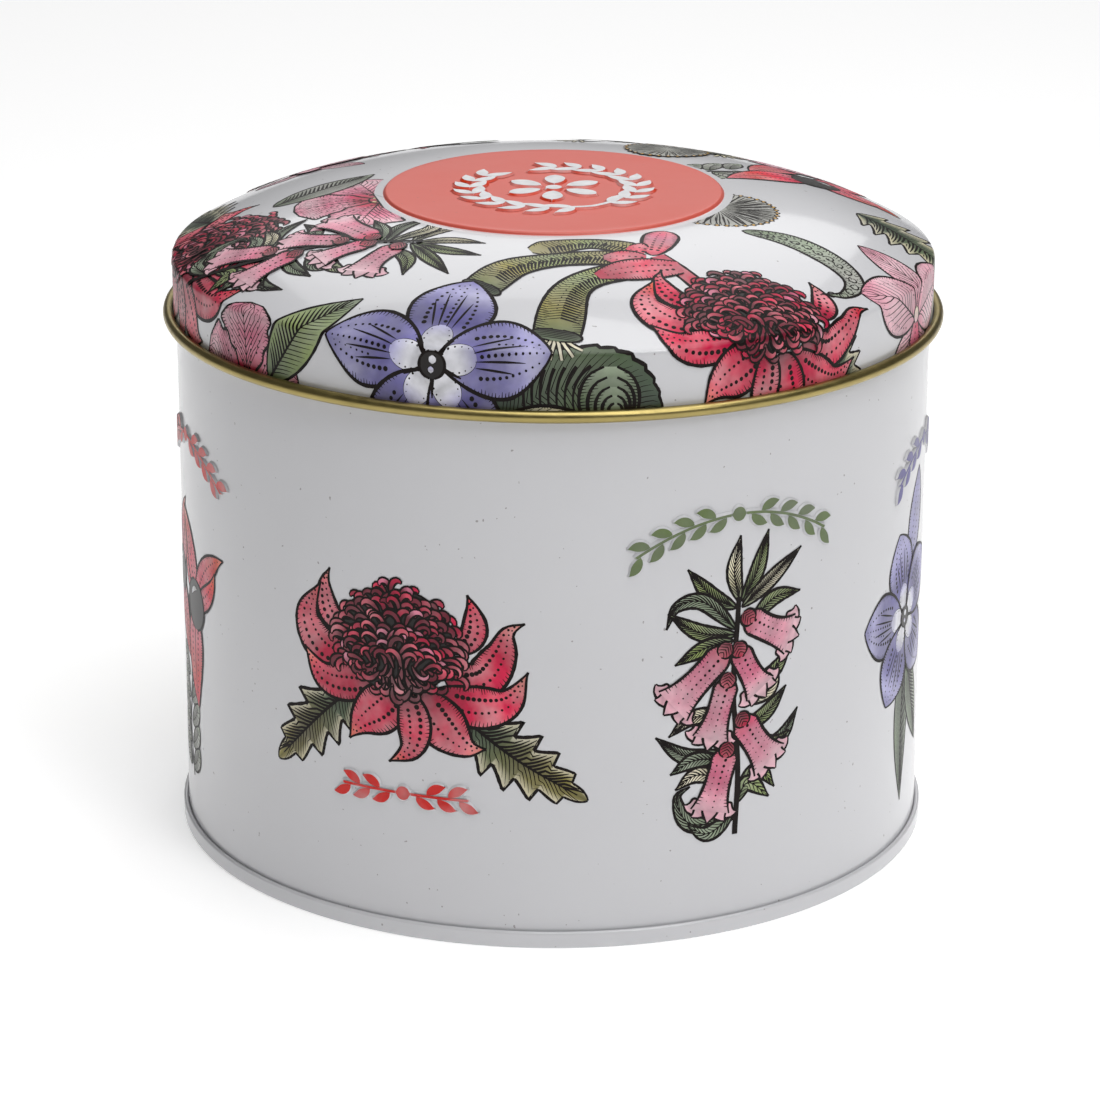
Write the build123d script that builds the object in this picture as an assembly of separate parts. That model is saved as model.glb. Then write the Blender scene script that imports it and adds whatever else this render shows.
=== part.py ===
from build123d import *

import os
from math import acos, atan2, degrees, radians, sin, sqrt

# Round lithographed gift tin: a rolled body with a hooked side seam, a double-seamed base, and a slip lid.
#
# Millimetres. +Z is up, and the origin is the centre of the ring that the tin stands on.
# Each piece is one sheet of tinplate. It is drawn as the line that runs through the middle of the sheet,
# thickened to the sheet's gauge, and turned once round the tin's axis.

# Driving sizes
SHEET = 0.25  # gauge of the tinplate
BODY_RADIUS = 70.0  # outside of the straight wall
LID_TOP = 121.1  # top of the raised panel, which is the tin's full height
LID_CLEARANCE = 0.25  # between the body's wall and the inside of the lid's skirt
DOME_RISE = 10.2  # from the skirt up to the foot of the raised panel
SHOULDER_RADIUS = 1.2  # outside of the bend between the dome and the skirt
PANEL_RADIUS = 31.2  # raised round panel in the middle of the lid
PANEL_STEP = 0.6  # how far the panel stands above the dome
FOOT_CURL_RADIUS = 1.1  # outside of the rolled edge round the foot of the lid
FOOT_CURL_HEIGHT = 99.25  # middle of that rolled edge with the lid on
FOOT_CURL_TURN = 305  # how far round the edge is rolled, in degrees
MOUTH_CURL_RADIUS = 0.745  # outside of the inward roll round the body's mouth
MOUTH_CURL_TURN = 290
MOUTH_GAP = 0.05  # between the mouth's roll and the inside of the lid
DOUBLE_SEAM_RADIUS = 71.0  # outside of the seam that joins the base to the body
DOUBLE_SEAM_HEIGHT = 3.1
SEAM_GAP = 0.04  # between the folded layers of that seam
BODY_HOOK_TOP = 2.2  # free end of the body's fold inside the seam
BASE_HOOK_FOOT = 1.05  # free end of the base's fold inside the seam
BASE_PANEL_HEIGHT = 3.6  # middle of the base's flat panel, above the standing ring
BASE_CORNER = 0.6  # bend between that panel and the wall inside the body
STANDING_CORNER = 0.35  # bends on each side of the flat standing ring
BEAD_RADIUS = 55.0  # where the stiffening ring pressed into the base begins
BEAD_WIDTH = 5.0
BEAD_RISE = 0.7
STEP_BEND = 0.45  # bends of the small pressed steps
SIDE_SEAM_AT = 67.0  # where the hooked seam runs up the back of the body, in degrees round from +X
SIDE_SEAM_WIDTH = 3.5
SIDE_SEAM_DEPTH = 0.55  # how far its folds stand into the tin
SIDE_SEAM_ENDS = 1.0  # clear of the base's panel and of the mouth's roll
GROOVE_WIDTH = 0.3  # the line that the seam leaves on the outside
GROOVE_DEPTH = 0.12

# Worked out from them: where the middle of the sheet runs
HALF = SHEET / 2
WALL = BODY_RADIUS - HALF
SKIRT = BODY_RADIUS + LID_CLEARANCE + HALF
# Layers of the double seam, from the inside to the outside, with the body's wall as the second
CHUCK_WALL = WALL - SHEET - SEAM_GAP
BASE_HOOK = WALL + SHEET + SEAM_GAP
BODY_HOOK = BASE_HOOK + SHEET + SEAM_GAP
OUTER_WALL = DOUBLE_SEAM_RADIUS - HALF


def spin(middle_line):
    """The solid that a sheet makes when its middle line goes once round the tin's axis."""
    outline = Wire(middle_line).offset_2d(HALF, side=Side.BOTH)
    outer_side = Pos(LID_TOP / 2, LID_TOP / 2) * Rectangle(LID_TOP, 2 * LID_TOP)
    section = make_face(outline) & outer_side
    return revolve(Plane.XZ * section, Axis.Z, 360)


def pressed_step(r, z, rise):
    """The two bends that carry a level sheet outwards and up by rise, or down where rise is negative."""
    up = 1 if rise > 0 else -1
    turn = step_turn(rise)
    far = r + step_width(rise)
    first = CenterArc((r, z + up * STEP_BEND), STEP_BEND, -90 * up, turn * up)
    second = CenterArc((far, z + rise - up * STEP_BEND), STEP_BEND, (90 + turn) * up, -turn * up)
    return first, second


def step_turn(rise):
    """How far each bend of a pressed step turns, in degrees."""
    return degrees(acos(1 - abs(rise) / (2 * STEP_BEND)))


def step_width(rise):
    """How far out a pressed step reaches."""
    return 2 * STEP_BEND * sin(radians(step_turn(rise)))


def lid_shoulder():
    """The dome's arc and the bend below it, smooth with the dome and the skirt, and the bend's height."""
    start = PANEL_RADIUS + step_width(PANEL_STEP) / 2
    reach = SKIRT - start
    radius = (reach**2 + DOME_RISE**2) / (2 * DOME_RISE)
    centre_z = LID_TOP - HALF - PANEL_STEP - radius
    bend = SHOULDER_RADIUS - HALF
    bend_z = centre_z + sqrt((radius - bend) ** 2 - (reach - bend) ** 2)
    meet = degrees(atan2(bend_z - centre_z, reach - bend))
    dome = CenterArc((start, centre_z), radius, 90, meet - 90)
    shoulder = CenterArc((SKIRT - bend, bend_z), bend, meet, -meet)
    return dome, shoulder, bend_z


def lid():
    """One drawn sheet: raised panel, dome, shoulder, skirt, and an outward roll round its foot."""
    dome, shoulder, shoulder_z = lid_shoulder()
    panel_z = LID_TOP - HALF
    panel_edge = PANEL_RADIUS - step_width(PANEL_STEP) / 2
    roll = FOOT_CURL_RADIUS - HALF
    return spin([
        Line((0, panel_z), (panel_edge, panel_z)),
        *pressed_step(panel_edge, panel_z, -PANEL_STEP),
        dome,
        shoulder,
        Line((SKIRT, shoulder_z), (SKIRT, FOOT_CURL_HEIGHT)),
        CenterArc((SKIRT + roll, FOOT_CURL_HEIGHT), roll, 180, FOOT_CURL_TURN),
    ])


def bent_strip(inner, outer, low, high, width):
    """An upright strip, curved to the body's wall, where the side seam is."""
    angle = degrees(width / BODY_RADIUS)
    section = Pos((inner + outer) / 2, (low + high) / 2) * Rectangle(outer - inner, high - low)
    return Rot(0, 0, SIDE_SEAM_AT - angle / 2) * revolve(Plane.XZ * section, Axis.Z, angle)


def body_wall():
    """One rolled sheet: its fold in the base's seam, the wall, the rolled mouth, and the hooked side seam."""
    fold = (BODY_HOOK - WALL) / 2
    fold_z = SHEET + SEAM_GAP + HALF + fold
    roll = MOUTH_CURL_RADIUS - HALF
    # The mouth's roll nests inside the lid's shoulder bend, which is rounder than it by this much.
    slack = SHOULDER_RADIUS - SHEET - MOUTH_CURL_RADIUS
    mouth_z = lid_shoulder()[2] + slack - MOUTH_GAP
    shell = spin([
        Line((BODY_HOOK, BODY_HOOK_TOP), (BODY_HOOK, fold_z)),
        CenterArc((WALL + fold, fold_z), fold, 0, -180),
        Line((WALL, fold_z), (WALL, mouth_z)),
        CenterArc((WALL - roll, mouth_z), roll, 0, MOUTH_CURL_TURN),
    ])
    seam_foot = BASE_PANEL_HEIGHT + SIDE_SEAM_ENDS
    seam_top = mouth_z - MOUTH_CURL_RADIUS - SIDE_SEAM_ENDS
    seam_inside = BODY_RADIUS - SHEET - SIDE_SEAM_DEPTH
    folds = bent_strip(seam_inside, WALL, seam_foot, seam_top, SIDE_SEAM_WIDTH)
    groove = bent_strip(BODY_RADIUS - GROOVE_DEPTH, BODY_RADIUS + SHEET, seam_foot, seam_top, GROOVE_WIDTH)
    return shell + folds - groove


def base_end():
    """One pressed sheet: flat panel with a stiffening ring, the wall inside the body, and the folded seam."""
    bead_z = BASE_PANEL_HEIGHT + BEAD_RISE
    bead_top = BEAD_RADIUS + step_width(BEAD_RISE)
    bead_end = BEAD_RADIUS + BEAD_WIDTH
    panel_edge = CHUCK_WALL - BASE_CORNER
    corner_z = HALF + STANDING_CORNER
    fold = (OUTER_WALL - BASE_HOOK) / 2
    fold_z = DOUBLE_SEAM_HEIGHT - HALF - fold
    return spin([
        Line((0, BASE_PANEL_HEIGHT), (BEAD_RADIUS, BASE_PANEL_HEIGHT)),
        *pressed_step(BEAD_RADIUS, BASE_PANEL_HEIGHT, BEAD_RISE),
        Line((bead_top, bead_z), (bead_end, bead_z)),
        *pressed_step(bead_end, bead_z, -BEAD_RISE),
        Line((bead_end + step_width(BEAD_RISE), BASE_PANEL_HEIGHT), (panel_edge, BASE_PANEL_HEIGHT)),
        CenterArc((panel_edge, BASE_PANEL_HEIGHT - BASE_CORNER), BASE_CORNER, 90, -90),
        Line((CHUCK_WALL, BASE_PANEL_HEIGHT - BASE_CORNER), (CHUCK_WALL, corner_z)),
        CenterArc((CHUCK_WALL + STANDING_CORNER, corner_z), STANDING_CORNER, 180, 90),
        Line((CHUCK_WALL + STANDING_CORNER, HALF), (OUTER_WALL - STANDING_CORNER, HALF)),
        CenterArc((OUTER_WALL - STANDING_CORNER, corner_z), STANDING_CORNER, 270, 90),
        Line((OUTER_WALL, corner_z), (OUTER_WALL, fold_z)),
        CenterArc((OUTER_WALL - fold, fold_z), fold, 0, 180),
        Line((BASE_HOOK, fold_z), (BASE_HOOK, BASE_HOOK_FOOT)),
    ])


os.makedirs("parts", exist_ok=True)
for name, piece in {"lid": lid(), "body_wall": body_wall(), "base_end": base_end()}.items():
    export_step(piece, f"parts/{name}.step")
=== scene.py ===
from contextlib import contextmanager
from math import radians

import bmesh
import bpy
import numpy as np
from mathutils import Matrix, Vector


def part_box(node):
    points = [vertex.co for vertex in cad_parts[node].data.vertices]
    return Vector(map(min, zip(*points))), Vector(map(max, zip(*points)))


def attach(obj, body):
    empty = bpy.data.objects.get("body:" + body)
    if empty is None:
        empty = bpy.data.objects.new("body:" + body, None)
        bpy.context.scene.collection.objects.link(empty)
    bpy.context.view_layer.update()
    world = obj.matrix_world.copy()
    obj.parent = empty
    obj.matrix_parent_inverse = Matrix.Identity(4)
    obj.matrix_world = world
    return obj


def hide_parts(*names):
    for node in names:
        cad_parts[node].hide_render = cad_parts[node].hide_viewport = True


# A round lithographed tin in three pieces: body, base and slip lid. The CAD holds the shape; this script
# gives each sheet of tinplate a smooth skin, its enamel and its lacquer, and lays the print on it.

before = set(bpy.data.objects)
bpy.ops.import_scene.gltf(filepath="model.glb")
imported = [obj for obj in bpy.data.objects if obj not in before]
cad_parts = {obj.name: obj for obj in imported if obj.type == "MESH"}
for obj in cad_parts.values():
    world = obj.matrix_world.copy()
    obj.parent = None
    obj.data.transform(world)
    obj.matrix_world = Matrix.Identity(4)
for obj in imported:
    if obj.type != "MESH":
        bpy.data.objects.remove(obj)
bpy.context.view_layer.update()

MM = 0.001
# Sizes in millimetres, as in the CAD model, and from its boxes where a box gives them
SHEET = 0.25
HALF = SHEET / 2
BODY_RADIUS = 70.0
LID_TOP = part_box("lid")[1].z / MM
SKIRT = BODY_RADIUS + SHEET + HALF
DOME_RISE = 10.2
SHOULDER = 1.2 - HALF
PANEL_RADIUS = 31.2
PANEL_STEP = 0.6
STEP_BEND = 0.45
FOOT_CURL = 1.1 - HALF
FOOT_CURL_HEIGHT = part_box("lid")[0].z / MM + 1.1
MOUTH_CURL = 0.745 - HALF
WALL = BODY_RADIUS - HALF
SEAM_LAYER = SHEET + 0.04
SEAM_TOP = 3.1
OUTER_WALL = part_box("base_end")[1].x / MM - HALF
BASE_PANEL = 3.6
BEAD = (55.0, 60.0, 0.7)
SIDE_SEAM_AT = 67.0  # degrees round the body
SIDE_FOLD = (1.8, 0.55)  # half the width of the side seam's fold, and how far it stands into the tin
SIDE_GROOVE = (0.2, 0.12)  # the same for the groove along it outside

COLUMNS = 384  # round each sheet
LAYER = 0.006  # how far each layer of print stands above the one below it
FILM = 0.012  # how far the first layer stands above the enamel
EMBLEM_MIDDLE = 55.0  # height on the body that the print's flat coordinates are measured from
RELIEF = 0.4  # how far the ornaments are pressed up

# ---- The print: drawn on the flat in millimetres, as x + iy, and then laid on the metal ----

INK_EDGE = 0.55  # width of an outline
CELL = 0.35  # of the map that says how many layers lie at each spot
DOT_SPACING, TICK_SPACING = 1.12, 0.6
VEIN, HEAVY_VEIN = 0.18, 0.42  # widths of a leaf's veins, and of the heaviest on its dark side
RNG = np.random.default_rng(11)


def colour(code):
    """Linear red, green and blue from a hex code, as a printer's swatch would name them."""
    s = np.array([int(code[i:i + 2], 16) for i in (0, 2, 4)]) / 255
    return np.where(s <= 0.04045, s / 12.92, ((s + 0.055) / 1.055) ** 2.4)


BLACK, DEEP, CRIMSON, CORAL = map(colour, ("181211", "701a2e", "b62e49", "d4586a"))
ORANGE, PINK, BLUSH, CREAM = map(colour, ("df8064", "d27c93", "dfb0bb", "d9d1b4"))
SAGE, MOSS, OLIVE, FOREST = map(colour, ("8d9a82", "5f6e52", "958c4f", "33483a"))
VIOLET, LILAC, WHITE, GOLD = map(colour, ("817db0", "a9a6cc", "dfdfe6", "c9993a"))
INDIGO, LIME, YELLOW = map(colour, ("666196", "8f9d68", "e8c45a"))
RED, GREEN, GREY, SILVER = map(colour, ("cf3430", "66754f", "a3a39c", "dcdcde"))
ENAMEL, PANEL_RED, LACQUER = map(colour, ("cdcdd0", "d05a4c", "a6965f"))


def polar(length, degrees):
    return length * np.exp(1j * np.radians(degrees))


def sweep(start, heading, length, bend=0, ease=1.0, spacing=0.9):
    """A line that sets off at a heading and turns through bend degrees, late where ease is above 1."""
    n = max(5, int(np.ceil(length / spacing)) + 1)
    t = (np.arange(n - 1) + 0.5) / (n - 1)
    steps = polar(length / (n - 1), heading + bend * t**ease)
    return start + np.concatenate([[0], np.cumsum(steps)])


def through(points, spacing=0.9):
    """A smooth line through the points."""
    p = np.array(points, complex)
    p = np.concatenate([[2 * p[0] - p[1]], p, [2 * p[-1] - p[-2]]])
    t = np.linspace(0, 1, 12, endpoint=False)
    spans = [
        b + (c - a) * t / 2 + (2 * a - 5 * b + 4 * c - d) * t**2 / 2 + (3 * b - a - 3 * c + d) * t**3 / 2
        for a, b, c, d in zip(p, p[1:], p[2:], p[3:])
    ]
    return even(np.append(np.concatenate(spans), p[-2]), spacing)


def even(line, spacing):
    """The same line with its points about spacing apart."""
    run = np.concatenate([[0], np.cumsum(abs(np.diff(line)))])
    at = np.linspace(0, run[-1], max(5, int(run[-1] / spacing) + 2))
    return np.interp(at, run, line.real) + 1j * np.interp(at, run, line.imag)


def shares(line):
    """How far along the line each of its points is, from 0 to 1."""
    return np.linspace(0, 1, len(line))


def heading_of(step):
    return np.degrees(np.angle(step))


def normals(line):
    along = np.gradient(line)
    return 1j * along / np.maximum(abs(along), 1e-9)


def swell(t, peak=0.5, foot=0.6, tip=1.0):
    """A half-width that is 1 at its peak and 0 at both ends: an end is round at 0.5 and sharp from 1 up."""
    rise = np.sin(np.pi / 2 * np.clip(t / peak, 0, 1)) ** foot
    fall = np.cos(np.pi / 2 * np.clip((t - peak) / (1 - peak), 0, 1)) ** tip
    return rise * fall


def half_width(shape, t):
    """Half-widths along t, which a tuple gives as swell's settings."""
    return swell(t, *shape) if isinstance(shape, tuple) else shape


def blend_tones(tones, t):
    """Colours along t from a list of tones, evenly spaced."""
    at = shares(tones)
    return np.stack([np.interp(t, at, [tone[i] for tone in tones]) for i in range(3)], -1)


class Sheet:
    """One printed surface. It knows how many layers of print lie at each spot."""

    def __init__(self, width, height):
        self.size = (width, height)
        self.top = np.zeros((int(width / CELL) + 2, int(height / CELL) + 2), int)

    def cover(self, grid, layers):
        """The first free layer under a patch of print, after which the patch has taken some layers."""
        for axis in (0, 1):
            g = np.moveaxis(grid, axis, 0)
            g = np.concatenate([(1 - f) * g[:-1] + f * g[1:] for f in (0, 0.34, 0.67)] + [g[-1:]])
            grid = np.moveaxis(g, 0, axis)
        i = np.clip(((grid.real + self.size[0] / 2) / CELL).astype(int), 0, self.top.shape[0] - 1)
        j = np.clip(((grid.imag + self.size[1] / 2) / CELL).astype(int), 0, self.top.shape[1] - 1)
        layer = self.top[i, j].max() + 1
        self.top[i, j] = layer + layers - 1
        return layer


class Motif:
    """One flower of the print. Its patches are grids of points with a colour, a layer and a raised height."""

    def __init__(self, sheet, centre, turn=0.0, scale=1.0):
        self.sheet, self.centre, self.turn = sheet, centre, polar(scale, turn)
        self.patches = {"wash": [], "ink": []}

    def place(self, points):
        return self.centre + self.turn * points

    def wash(self, grid, tones, layer, lift=0.0):
        self.patches["wash"].append((self.place(grid), tones, layer, lift))

    def draw(self, grid, layer):
        self.patches["ink"].append((self.place(grid), BLACK, layer, 0.0))

    def ribbon(self, line, half, layer):
        n = normals(line)
        self.draw(np.stack([line + n * half, line - n * half], 1), layer)

    def stem(self, line, width, tones=None, taper=0.5, edge=0.4):
        """A free stroke with its own place in the layers: inked, or washed with an outline."""
        narrowing = 1 - taper * shares(line)
        if tones is not None:
            return self.blade(line, width, tones, narrowing, edge)
        half = width / 2 * narrowing
        out = normals(line) * half
        layer = self.sheet.cover(self.place(np.stack([line + out, line - out], 1)), 1)
        self.ribbon(line, half, layer)

    def pen(self, line, layer, width, taper=0.8):
        """A thin pen line that swells in its middle."""
        self.ribbon(line, width / 2 * (1 - taper * (2 * shares(line) - 1) ** 2), layer)

    def dots(self, centres, radii, layer):
        corners = polar(1, np.array([22.5, 67.5, 112.5, 157.5]))
        for centre, radius in zip(centres, radii):
            self.draw(centre + radius * np.stack([corners, np.conj(corners)], 1), layer)

    def blade(self, line, width, tones, shape=(), edge=INK_EDGE, *, pale=None, across=7, core=1, thin=False,
              **pen):
        """A petal, leaf or tube about a line: its wash, its outline, and the pen work inside it.

        pale colours a border inside the edge, and core darkens the wash along the middle. A thin blade takes
        one layer rather than two. The rest is for inner_pen.
        """
        t = shares(line)
        half = np.maximum(width / 2 * half_width(shape, t), 0.04)
        n = normals(line)
        s = np.linspace(-1, 1, across)
        grid = line[:, None] + n[:, None] * half[:, None] * s
        wide = line[:, None] + n[:, None] * (half[:, None] + edge / 2) * s
        layer = self.sheet.cover(self.place(wide), 1 if thin else 2)
        tint = blend_tones(tones, t)[:, None, :] * np.ones((1, across, 1))
        patches = np.interp(t, np.linspace(0, 1, 6), RNG.uniform(0.74, 1.22, 6))
        tint = tint * patches[:, None, None] * RNG.uniform(0.94, 1.06, tint.shape[:2])[..., None]
        tint *= (core + (1 - core) * abs(s) ** 0.7)[None, :, None]
        if pale is not None:
            tint[:, [0, -1]] = pale
            tint[:, [1, -2]] = (tint[:, [1, -2]] + pale) / 2
        self.wash(grid, np.clip(tint, 0, 1), layer)
        ink = layer + (0.5 if thin else 1)
        for side in (1, -1):
            rim = line + side * n * half
            self.ribbon(rim, edge / 2 * (0.55 + 0.45 * swell(t)) * RNG.uniform(0.85, 1.15, len(t)), ink)
        self.inner_pen(line, half, ink, **pen)
        return layer

    def inner_pen(self, line, half, ink, ticks=0.0, rows=(), rib=0.0, veins=0, dark_side=0, lean=0.1):
        """Pen work in a blade.

        ticks is how far short strokes reach in from the edge, rows are lines of dots, rib is the width of a
        middle line, and veins is how many strokes lean out of it on each side, heavier on the dark side.
        """
        n = normals(line)
        run = np.concatenate([[0], np.cumsum(abs(np.diff(line)))])
        t = run / run[-1]

        def along(values, u):
            return np.interp(u, t, values.real) + 1j * np.interp(u, t, values.imag)

        def at(u, s):
            """The point a share u along the blade and a share s of the way out to its side."""
            return along(line, u) + along(n, u) * (np.interp(u, t, half) * s)

        if ticks:
            for u in np.arange(0.06, 0.94, TICK_SPACING / run[-1]):
                for side in (1, -1):
                    reach = ticks * RNG.uniform(0.5, 1.1)
                    p = np.array([at(u, side), at(u + 0.01, side * (1 - reach))])
                    self.ribbon(p, np.array([0.14, 0.04]), ink)
        for s, first, last, radius in rows:
            u = np.arange(first, last, DOT_SPACING / run[-1])
            self.dots([at(v, s * (1 - 0.25 * v)) for v in u], radius * np.linspace(1, 0.45, len(u)), ink)
        if rib:
            u = np.linspace(0.02, 0.93, len(line))
            self.ribbon(at(u, 0), rib / 2 * np.linspace(1, 0.3, len(u)), ink)
        for k in range(veins):
            u = 0.07 + 0.8 * k / veins
            for side in (1, -1):
                width = min(HEAVY_VEIN, VEIN * half.max()) if side == dark_side else VEIN
                v = np.linspace(0, 1, 5)
                stroke = at(u + lean * v, 0.84 * side * v)
                self.ribbon(stroke, width / 2 * np.array([1.2, 1.1, 1, 0.8, 0.35]), ink)

    def raised(self, line, width, tone, ground, shape=None, slope=0.45):
        """A stroke pressed up from behind: a coloured top with slopes of the ground's colour on each side."""
        t = shares(line)
        half = np.maximum(width / 2 * (1 - 0.5 * t if shape is None else half_width(shape, t)), 0.06)
        n = normals(line)
        ahead = slope * np.gradient(line) / abs(np.gradient(line))
        full = np.concatenate([line[:1] - ahead[:1], line, line[-1:] + ahead[-1:]])
        halves = np.concatenate([half[:1] * 0.8, half, half[-1:] * 0.8])
        nn = np.concatenate([n[:1], n, n[-1:]])
        s = np.array([-1, -1, -0.94, 0.94, 1, 1])
        grid = full[:, None] + nn[:, None] * (halves[:, None] * s + slope * np.array([-1, 0, 0, 0, 0, 1]))
        layer = self.sheet.cover(self.place(grid), 1)
        heights = np.outer([0, *np.ones(len(line)), 0], [0, 0.9, 1, 1, 0.9, 0]) * RELIEF
        self.wash(grid, np.where((heights > 0.95 * RELIEF)[..., None], tone, ground), layer, heights)
        self.wash(line[:, None] + n[:, None] * half[:, None] * np.array([-1, 0, 1]), tone, layer + 1, RELIEF)


# ---- Flowers, each about its own origin, with +y up ----


def sided(side, line):
    """The line as it is on the right, or its mirror image on the left."""
    return line if side > 0 else -np.conj(line)


def toothed(line, teeth, peak=0.45):
    """The outline of a saw-edged leaf, its teeth pointing to its tip."""
    t = shares(line)
    return swell(t, peak, 0.5, 0.8) * (0.56 + 0.58 * (t * teeth % 1) ** 1.4)


def bell_shape(line, mouth=1.3):
    """The half-width of a hanging bell: rounded at the stalk, waisted, and flared at the mouth."""
    t = shares(line)
    return np.minimum(1, (t / 0.2 + 0.1) ** 0.5) * (0.94 - 0.12 * np.sin(np.pi * t) + (mouth - 0.94) * t**5)


def ellipse(line):
    """The half-width of a round spot."""
    t = np.linspace(0.01, 0.99, len(line))
    return np.sqrt(1 - (2 * t - 1) ** 2)


def pair(out, *rest):
    """The same row of dots on each side of a blade."""
    return (out, *rest), (-out, *rest)


def ball(m, centre, radius, tones, edge=INK_EDGE, **pen):
    """A round spot of wash with an outline."""
    line = sweep(centre - 1j * radius, 90, 2 * radius, spacing=max(0.25, radius / 6))
    m.blade(line, 2 * radius, tones, ellipse(line), edge, across=9, **pen)


def part_of(m, at, scale=1.0):
    """A smaller motif inside another: its pieces go with the larger one's."""
    inner = Motif(m.sheet, m.place(at), heading_of(m.turn), abs(m.turn) * scale)
    inner.patches = m.patches
    return inner


def waratah_head(m):
    """A dome of crimson curls over black. They stand up and lean out, and the lowest hang down."""
    wide, tall = 11.8, 10.6
    axis = sweep(-0.92j * tall, 90, 1.84 * tall)
    m.blade(axis, 1.84 * wide, [BLACK], ellipse(axis), across=15)
    for row, y in enumerate(np.arange(0.95, -1, -0.19)):
        up = 1 if y > -0.5 else -1
        count = int(1.25 * wide * np.sqrt(1 - y**2)) + 1 + row % 2
        places = 1.6 * (np.arange(count) - (count - 1) / 2)
        for x in sorted(places, key=lambda place: -abs(place)):
            side = 1 if x + RNG.uniform(-2.5, 2.5) > 0 else -1
            out = abs(x) / wide
            heading = up * (90 - side * (4 + 62 * out + RNG.uniform(-14, 14)))
            foot = x - side * (0.9 + 1.5 * out) + 1j * (tall * y - 1.6 * up)
            foot += RNG.uniform(-0.3, 0.3) + 1j * RNG.uniform(-0.5, 0.5)
            length = RNG.uniform(5.0, 6.4) - 1.6 * y * up
            curl = sweep(foot, heading, length, -side * up * RNG.uniform(150, 230), 2.4, 0.42)
            tone = (CRIMSON, DEEP, CRIMSON, CORAL, DEEP, PINK, CRIMSON)[RNG.integers(7)]
            width = RNG.uniform(0.9, 1.3)
            m.blade(curl, width, [DEEP, DEEP, tone, tone], (0.6, 0.5, 0.6), 0.42, across=3, thin=True)


def bract(m, width, *points):
    """One pointed bract of a waratah through its foot, belly and tip."""
    tip = (ORANGE, CORAL, ORANGE, RED)[RNG.integers(4)]
    m.blade(through(points, 0.7), width, [DEEP, CRIMSON, CORAL, CORAL, tip], (0.4, 0.5, 1.35), 0.66,
            ticks=0.34, rows=((0.42, 0.2, 0.92, 0.5), (-0.3, 0.22, 0.88, 0.36)))


BRACTS = (
    (4.6, -9 + 0j, -13.6 + 3j, -14.6 + 8j, -13.4 + 11.4j),
    (4.6, 12 - 1j, 14.4 + 3j, 14.2 + 7j, 13.2 + 10j),
    (7.4, -7 - 5j, -15 - 4j, -18.6 + 1.6j, -15.4 + 8.4j),
    (7.2, 9 - 6j, 15.6 - 5.6j, 19 - 1j, 20.4 + 3.4j, 23.4 + 5.2j),
    (7.0, -4 - 8j, -9 - 9.4j, -15 - 9.2j, -19.4 - 4.4j),
    (7.8, 7 - 9j, 14 - 10.8j, 20.4 - 9.6j, 24 - 3.8j),
    (9.0, 1 - 9j, -3 - 13j, -7 - 16.4j, -9.6 - 20j),
    (9.0, 5 - 9j, 8.6 - 14.6j, 13 - 18.4j, 16.6 - 18.6j),
    (6.2, 2 - 9j, 3.4 - 15j, 2.6 - 20j, -1.6 - 23j),
)


def waratah_flower(m):
    """The ring of hooked bracts, and the head over them."""
    for row in BRACTS:
        bract(m, *row)
    waratah_head(m)


def waratah(m):
    """A waratah with two saw-edged leaves."""
    left, right = (-6 - 8j, -15 - 16j, -26.5 - 28j), (9 - 10j, 21 - 19.6j, 34.5 - 28j)
    for side, teeth, points in ((-1, 6, left), (1, 7, right)):
        line = through(points, 0.35)
        m.blade(line, 12, [FOREST, MOSS, OLIVE, OLIVE], toothed(line, teeth), 0.66, rib=0.8, veins=24,
                dark_side=side, lean=0.12, pale=CREAM, core=0.45, across=9)
    waratah_flower(m)


def bell(m, start, heading, length, width, bend):
    """One hanging heath flower: a pink tube, its pointed lobes, and a scaly cap."""
    line = sweep(start, heading, length, bend, spacing=0.7)
    end = heading_of(line[-1] - line[-2])
    for spread in (-70, 70, -34, 34, 0):
        foot = line[-1] - polar(1.7, end) + polar(width * 0.36 * np.sin(np.radians(spread)), end + 90)
        lobe = sweep(foot, end + spread * 0.5, 4.0, spread * 1.3, 1.5, 0.5)
        m.blade(lobe, 3.2, [PINK, BLUSH, BLUSH], (0.35, 0.5, 1.1), 0.5, across=5)
    m.blade(line, width, [CRIMSON, PINK, PINK, BLUSH], bell_shape(line), 0.62, ticks=0.3, across=9,
            rows=((0.12, 0.2, 0.95, 0.32), (-0.5, 0.3, 0.9, 0.18), (0.62, 0.35, 0.85, 0.15)))
    cap = sweep(start - polar(1.0, heading), heading, 3.0, spacing=0.4)
    m.blade(cap, 3.3, [DEEP, CRIMSON], ellipse(cap), 0.5, veins=4, lean=0.3)


def heath_leaf(m, *points):
    """A narrow leaf with one half hatched dark."""
    line = through(points, 0.6)
    tone = (SAGE, CREAM, SAGE, LIME)[RNG.integers(4)]
    m.blade(line, 2.9, [MOSS, tone, tone], (0.45, 0.6, 1.1), 0.56, rib=0.36, lean=0.16,
            veins=int(abs(line[-1] - line[0]) * 1.1), dark_side=RNG.choice([-1, 1]))


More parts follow.
